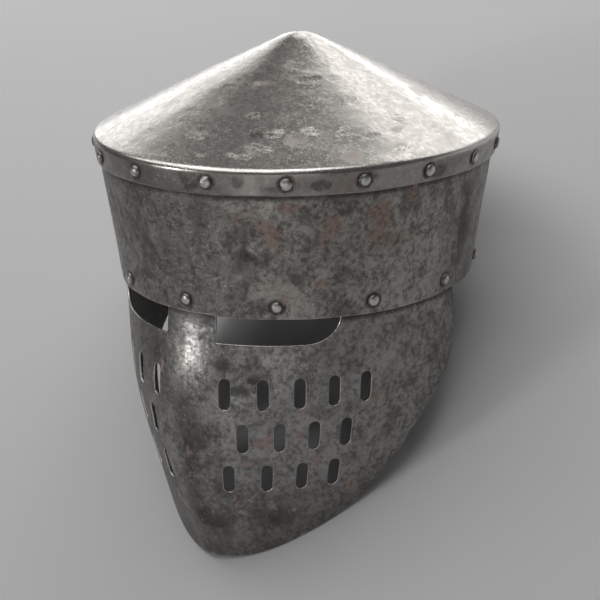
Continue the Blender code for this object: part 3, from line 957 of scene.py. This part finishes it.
def face_plate():
    plate = Plate(
        "helm_face_plate", FACE_PLATE, face_surface, spread_face, FACE_SPACING,
        face_relief, face_masks,
    )
    plate.add_loop(drawn_loop(face_outline(), 1, smoothing=6), False)
    for side in (1, -1):
        plate.add_loop(drawn_loop(sight_outline(side), -1, smoothing=1), True)
        for depth, first, step, count in BREATH_ROWS:
            for k in range(count):
                turn = side * math.radians(first + step * k)
                spot = np.array([turn * FACE_SPREAD, -depth * FACE_DEPTH])
                plate.add_loop(slot_loop(plate, spot), True)
    return plate


# Rivets

def even_angles(halves, count, front_gap):
    """Angles of points spaced evenly along an oval, but for the gap between the front two."""
    fine = np.linspace(0.0, 2 * math.pi, OVAL_SAMPLES)
    speed = np.hypot(halves[0] * np.cos(fine), halves[1] * np.sin(fine))
    run = np.concatenate([[0.0], np.cumsum((speed[1:] + speed[:-1]) / 2 * np.diff(fine))])
    step = (run[-1] - front_gap) / (count - 1)
    return [float(np.interp(front_gap / 2 + step * i, run, fine)) for i in range(count)]


def crown_rivet_frames(crown):
    run = CROWN_END - CROWN_RIVET_LIFT
    halves = fold_halves(BAND_HEIGHT + CROWN_RIVET_LIFT)
    angles = even_angles(halves, CROWN_RIVETS, CROWN_RIVET_FRONT)
    return [crown.frame_at(flat_ring(angle, run)) for angle in angles]


def band_rivet_angles():
    pairs = range(-BAND_RIVET_PAIRS, BAND_RIVET_PAIRS + 1)
    return [BAND_RIVET_STEP * k for k in pairs] + [math.pi]


def band_rivet_frames(band):
    reach = BAND_SPREAD + BAND_TOP - BAND_RIVET_LIFT
    return [band.frame_at(flat_ring(angle, reach)) for angle in band_rivet_angles()]


def holds_face(angle):
    """Whether a band rivet at this angle goes through the face plate too."""
    return abs(angle) < CHEEK_ANGLE - 2 * HEAD_RADIUS / BAND_HALF_LENGTH


def rivet_profile(grip):
    """A rivet's turned outline, from the top of its head to its hammered tail."""
    spread = 1.4 * SHANK_RADIUS
    profile = []
    for step in range(1, DOME_RINGS + 1):
        turn = math.pi / 2 * step / DOME_RINGS
        rise = HEAD_RISE + FIT_GAP - RIVET_RIM
        profile.append((HEAD_RADIUS * math.sin(turn), RIVET_RIM + rise * math.cos(turn)))
    inner_seat = RIVET_SEAT - grip
    profile += [(HEAD_RADIUS, 0.0), (HEAD_RADIUS * 0.96, -RIVET_SEAT), (SHANK_RADIUS, -RIVET_SEAT)]
    profile += [(SHANK_RADIUS, inner_seat), (spread, inner_seat), (spread, -grip - 0.2 * TAIL)]
    profile += [(0.8 * spread, -grip - 0.8 * TAIL), (0.4 * spread, -grip - TAIL)]
    return profile


def rivet_piece(name, place, grip, number):
    """A domed rivet with its own small unevenness."""
    shape = np.random.default_rng(SEED + number)
    profile = rivet_profile(grip)
    turns = np.arange(RIVET_SIDES) * 2 * math.pi / RIVET_SIDES
    local = [(0.0, 0.0, HEAD_RISE + FIT_GAP)]
    for radius, height in profile:
        local += [(radius * math.cos(t), radius * math.sin(t), height) for t in turns]
    local.append((0.0, 0.0, profile[-1][1]))
    local = np.array(local)
    head = ease(local[:, 2], -0.2 * MM, 0.6 * MM)
    local[:, :2] *= 1 + (shape.uniform(-0.05, 0.03) * head)[:, None]
    local[:, 2] += head * (shape.uniform(-0.3, 0.1) * MM + local[:, 0] * shape.uniform(-0.06, 0.06))
    spots = local + number * RIVET_APART
    outward = local / np.linalg.norm(local, axis=1, keepdims=True)
    local += outward * (head * 0.10 * MM * layered_noise(spots, 0.0026, 100))[:, None]
    faces = []
    last = len(local) - 1
    for i in range(RIVET_SIDES):
        j = (i + 1) % RIVET_SIDES
        faces.append((0, 1 + i, 1 + j))
        for ring in range(len(profile) - 1):
            upper = 1 + ring * RIVET_SIDES
            lower = upper + RIVET_SIDES
            faces.append((upper + i, lower + i, lower + j))
            faces.append((upper + i, lower + j, upper + j))
        bottom = 1 + (len(profile) - 1) * RIVET_SIDES
        faces.append((bottom + i, last, bottom + j))
    points = moved(local, place)
    masks = {
        "rust": ease(layered_noise(spots, 0.004, 104), 0.7, 1.3),
        "stain": ease(layered_noise(spots, 0.003, 107), 0.3, 1.1) * 0.7,
        "wear": ease(local[:, 2], 1.0 * MM, 2.3 * MM),
        "grime": ease(local[:, 2], 0.9 * MM, 0.1 * MM),
    }
    return mesh_piece(name, points, np.array(faces), points / RIVET_GRAIN, masks)


# Finishes

class Finish:
    """A material under construction, with short calls for its nodes."""

    def __init__(self, name):
        self.material = bpy.data.materials.new(name)
        self.material.use_nodes = True
        self.tree = self.material.node_tree
        self.tree.nodes.clear()

    def node(self, kind, inputs, **settings):
        made = self.tree.nodes.new(kind)
        for key, value in settings.items():
            setattr(made, key, value)
        for key, value in inputs.items():
            if isinstance(value, bpy.types.NodeSocket):
                self.tree.links.new(value, made.inputs[key])
            else:
                made.inputs[key].default_value = value
        return made

    def kept(self, name, part="Fac"):
        """A value or place kept at the vertices."""
        return self.node("ShaderNodeAttribute", {}, attribute_name=name).outputs[part]

    def noise(self, place, scale, detail=4.0, roughness=0.6, twist=0.0):
        inputs = {
            "Vector": place, "Scale": scale, "Detail": detail, "Roughness": roughness,
            "Distortion": twist,
        }
        return self.node("ShaderNodeTexNoise", inputs).outputs["Fac"]

    def level(self, value, low, high, bottom=0.0, top=1.0):
        """The value's smooth way from low to high, from bottom to top."""
        inputs = {"Value": value, "From Min": low, "From Max": high, "To Min": bottom, "To Max": top}
        made = self.node("ShaderNodeMapRange", inputs, interpolation_type="SMOOTHSTEP")
        return made.outputs["Result"]

    def work(self, operation, first, second):
        return self.node("ShaderNodeMath", {0: first, 1: second}, operation=operation).outputs["Value"]

    def raised(self, value, mask, share):
        """The value with a share of a mask added to it."""
        return self.work("ADD", value, self.work("MULTIPLY", mask, share))

    def layer(self, pattern, mask, share, low, high, strength):
        """A layer that sets in where the pattern, raised by its mask, goes from low to high."""
        return self.level(self.raised(pattern, mask, share), low, high, 0.0, strength)

    def blend(self, amount, first, second):
        """A colour that goes from first to second with the amount."""
        first, second = (c if isinstance(c, bpy.types.NodeSocket) else (*c, 1.0) for c in (first, second))
        made = self.node("ShaderNodeMix", {0: amount, 6: first, 7: second}, data_type="RGBA")
        return made.outputs[2]

    def slide(self, amount, first, second):
        """A number that goes from first to second with the amount."""
        made = self.node("ShaderNodeMix", {0: amount, 2: first, 3: second}, data_type="FLOAT")
        return made.outputs[0]

    def closed(self, inputs):
        """The material, once its shader has these inputs."""
        shader = self.node("ShaderNodeBsdfPrincipled", inputs)
        self.node("ShaderNodeOutputMaterial", {"Surface": shader.outputs["BSDF"]})
        return self.material


def aged_steel(name, dark, light, roughness, grain, cracks, film_strength, rust_strength, relief):
    """Old bare steel: mottled metal, brown film, rust, pits, scratches and rubbed edges, with painted
    shade, painted highlights and painted glints laid into its colour.
    """
    finish = Finish(name)
    upright = finish.kept("upright", "Vector")
    around = finish.node(
        "ShaderNodeMapping", {"Vector": finish.kept("around", "Vector"), "Scale": grain},
    ).outputs["Vector"]
    rust_mask, stain_and_shade_mask, wear_and_highlight_mask, grime_and_shade_mask, scar_mask, tarnish_and_shade_mask, polish_mask = (
        finish.kept(label) for label in MASKS
    )
    clouds, mottle, blotch, speckle, glint, gaps, pits = (
        finish.noise(upright, *row) for row in PATTERNS.values()
    )
    streak = finish.noise(around, 1.0, 6.0, 0.66, 0.4)
    scratch = finish.noise(around, 2.6, 2.2, 0.6, 0.9)

    tone = clouds
    for share, pattern in ((0.45, mottle), (0.30, streak), (0.40, speckle)):
        tone = finish.slide(share, tone, pattern)
    metal = finish.blend(finish.level(tone, 0.41, 0.58), dark, light)
    # darkened by the tarnish mask, which is partly tarnish and partly painted shade
    metal = finish.blend(finish.work("MULTIPLY", tarnish_and_shade_mask, 0.6), metal, TARNISH_AND_SHADE)

    rust_grain = finish.slide(0.40, mottle, speckle)
    smudge_grain = finish.slide(0.35, mottle, speckle)
    # film and smudge grow on the stain mask, which also carries painted shade at the chin
    film_and_shade = finish.layer(blotch, stain_and_shade_mask, 0.14, 0.53, 0.66, film_strength)
    # the grime layer is partly painted shade
    grime = finish.layer(speckle, grime_and_shade_mask, 0.50, 0.68, 1.02, 0.85)
    rust = finish.layer(rust_grain, rust_mask, 0.25, 0.60, 0.72, rust_strength)
    smudge_and_shade = finish.layer(smudge_grain, stain_and_shade_mask, 0.32, 0.70, 0.84, 0.60)
    # the rubbed layer is partly a painted highlight
    rubbed_and_highlight = finish.layer(scratch, wear_and_highlight_mask, 0.72, 0.74, 1.05, 1.0)
    flecks = finish.level(speckle, 0.60, 0.70, 0.0, film_strength)
    # pale specks: painted glints
    glints = finish.level(glint, 0.60, 0.68, 0.0, 0.55)

    ridge = finish.work("ABSOLUTE", finish.work("SUBTRACT", scratch, 0.5), 0.0)
    broken = finish.layer(gaps, scar_mask, 0.24, 0.63, 0.71, cracks)
    crack = finish.work("MULTIPLY", finish.level(ridge, 0.055, 0.015), broken)

    rust_tone = finish.blend(finish.level(speckle, 0.36, 0.58), RUST_DARK, RUST)
    colour = metal
    for amount, over in (
        (film_and_shade, STAIN_AND_SHADE), (smudge_and_shade, STAIN_AND_SHADE), (grime, STAIN_AND_SHADE), (rust, rust_tone), (flecks, STAIN_AND_SHADE),
        (glints, PALE), (rubbed_and_highlight, WORN_AND_HIGHLIGHT), (finish.work("MULTIPLY", crack, 0.7), STAIN_AND_SHADE),
    ):
        colour = finish.blend(amount, colour, over)

    dull = finish.work("MAXIMUM", finish.work("MAXIMUM", film_and_shade, grime), rust)
    dull = finish.work("MULTIPLY", dull, finish.work("SUBTRACT", 1.0, rubbed_and_highlight))
    tarnish_and_shade_share = finish.work("MULTIPLY", tarnish_and_shade_mask, 0.8)
    polished = finish.work("MULTIPLY", polish_mask, 0.8)
    rough = finish.slide(finish.level(tone, 0.43, 0.57), roughness + 0.05, roughness - 0.03)
    for amount, over in ((dull, 0.60), (tarnish_and_shade_share, 0.44), (polished, 0.26), (rubbed_and_highlight, 0.28)):
        rough = finish.slide(amount, rough, over)

    height = finish.level(pits, 0.32, 0.46, 0.0, 0.35)
    for pattern, share in ((mottle, 1.1), (streak, 0.6), (rust, 0.20), (crack, -1.3)):
        height = finish.raised(height, pattern, share)
    calm = finish.work("SUBTRACT", 1.0, finish.work("MULTIPLY", polish_mask, 0.6))
    height = finish.work("MULTIPLY", height, calm)
    bump = finish.node("ShaderNodeBump", {
        "Strength": relief, "Distance": RELIEF_HEIGHT, "Height": height,
    })
    return finish.closed({
        "Base Color": colour,
        "Metallic": finish.slide(dull, 1.0, 0.35),
        "Roughness": rough,
        "Normal": bump.outputs["Normal"],
    })


def floor_finish():
    """Plain pale floor with a trace of unevenness."""
    finish = Finish("pale_floor")
    place = finish.node("ShaderNodeTexCoord", {}).outputs["Object"]
    cloud = finish.noise(place, 1.5, 3.0)
    return finish.closed({"Base Color": finish.blend(cloud, *FLOOR_TONES), "Roughness": 0.8})


# The scene

def add_floor():
    mesh = bpy.data.meshes.new("floor")
    corners = [(x * FLOOR_HALF, y * FLOOR_HALF, 0) for x, y in ((-1, -1), (1, -1), (1, 1), (-1, 1))]
    mesh.from_pydata(corners, [], [(0, 1, 2, 3)])
    mesh.materials.append(floor_finish())
    add_object("floor", mesh)


def add_panel(name, azimuth, elevation, distance, width, height, radiance):
    """A soft panel of even brightness that faces the helm. Azimuth 0 is in front, 90 at +X."""
    turn = math.radians(azimuth)
    rise = math.radians(elevation)
    way = Vector((math.sin(turn) * math.cos(rise), -math.cos(turn) * math.cos(rise), math.sin(rise)))
    lamp = bpy.data.lights.new(name, "AREA")
    lamp.shape = "RECTANGLE"
    lamp.size = width
    lamp.size_y = height
    lamp.energy = radiance * math.pi * width * height
    panel = add_object(name, lamp)
    panel.location = way * distance + Vector((0.0, 0.0, HELM.translation.z))
    panel.rotation_euler = (-way).to_track_quat("-Z", "Y").to_euler()
    panel.visible_camera = False


def add_world():
    world = bpy.data.worlds.new("studio")
    world.use_nodes = True
    background = world.node_tree.nodes["Background"]
    background.inputs["Color"].default_value = WORLD_GREY
    background.inputs["Strength"].default_value = WORLD_STRENGTH
    bpy.context.scene.world = world


def add_camera():
    back = (CAMERA_PLACE - CAMERA_AIM).normalized()
    right = Vector((-back.y, back.x, 0.0)).normalized()
    lens = bpy.data.cameras.new("camera")
    lens.lens = CAMERA_LENS
    lens.sensor_width = SENSOR
    camera = add_object("camera", lens)
    camera.matrix_world = HELM @ placed(right, back.cross(right), back, CAMERA_PLACE)
    bpy.context.scene.camera = camera


def dress(piece, node, slot):
    piece.data.materials.append(finishes[slot])
    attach(piece, "root")
    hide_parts(node)


crown = crown_plate()
band = band_plate()
face = face_plate()
crown_rivet_places = crown_rivet_frames(crown)
band_rivet_places = band_rivet_frames(band)

finishes = {slot: aged_steel(slot + "_aged", *row) for slot, row in FINISHES.items()}

for plate, node, slot in (
    (crown, "crown", "crown_steel"),
    (band, "brow_band", "band_steel"),
    (face, "face_plate", "face_steel"),
):
    points, faces, angle, along, masks = build_plate(plate)
    dress(mesh_piece(plate.name, points, faces, around_of(angle, along), masks), node, slot)

crown_grips = [CROWN_PLATE + FIT_GAP + BAND_PLATE] * CROWN_RIVETS
band_grips = [
    BAND_PLATE + FIT_GAP + FACE_PLATE if holds_face(angle) else BAND_PLATE
    for angle in band_rivet_angles()
]
for kind, places, grips, before in (
    ("crown_rivet", crown_rivet_places, crown_grips, 0),
    ("band_rivet", band_rivet_places, band_grips, CROWN_RIVETS),
):
    for number, (place, grip) in enumerate(zip(places, grips), start=1):
        node = f"{kind}_{number:02d}"
        dress(rivet_piece("domed_" + node, place, grip, before + number), node, "rivet_steel")

add_floor()
add_world()
for name, *settings in PANELS:
    add_panel(name, *settings)
add_camera()
bpy.context.scene.view_settings.view_transform = "Standard"
